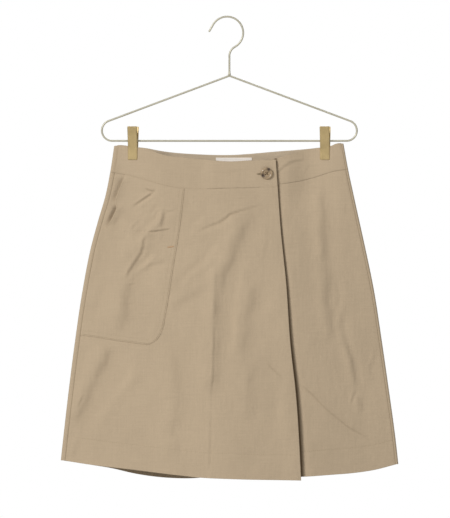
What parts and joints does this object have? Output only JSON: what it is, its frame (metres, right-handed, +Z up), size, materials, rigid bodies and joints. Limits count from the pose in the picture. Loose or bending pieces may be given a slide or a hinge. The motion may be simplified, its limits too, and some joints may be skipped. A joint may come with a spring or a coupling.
{
  "type": "hiking wrap skort on a clip hanger",
  "caption": "Wrap-front hiking skort with inner shorts, a patch pocket and a buttoned waistband, hung flat from a wire clip hanger.",
  "frame": {"origin": "inner top of the hanger's hook, right above its stem, where a rail carries it", "axes": "+Z up, the wearer's front faces -Y, +X to the right as seen from the front"},
  "size_m": [0.5227, 0.0678, 0.7182],
  "materials": {
    "beige_twill": "matt cotton twill",
    "shorts_cloth": "matt plain weave",
    "label_white": "satin ribbon",
    "horn_button": "mottled horn",
    "thread": "matt thread",
    "brass_sheet": "satin pale brass",
    "hanger_wire": "dull pale brass plating",
    "spring_steel": "plain"
  },
  "bodies": {
    "root": {"back_panel": "beige_twill", "front_over_panel": "beige_twill", "front_under_panel": "beige_twill", "pocket_patch": "beige_twill", "waistband_back": "beige_twill", "waistband_front_over": "beige_twill", "waistband_front_under": "beige_twill", "shorts_back_left": "shorts_cloth", "shorts_back_right": "shorts_cloth", "shorts_front_left": "shorts_cloth", "shorts_front_right": "shorts_cloth", "label": "label_white", "button": "horn_button", "button_thread": "thread", "hanger_hook": "hanger_wire", "hanger_frame": "hanger_wire", "clip_left_front": "brass_sheet", "clip_left_back": "brass_sheet", "clip_left_spring": "spring_steel", "clip_right_front": "brass_sheet", "clip_right_back": "brass_sheet", "clip_right_spring": "spring_steel"}
  },
  "joints": []
}
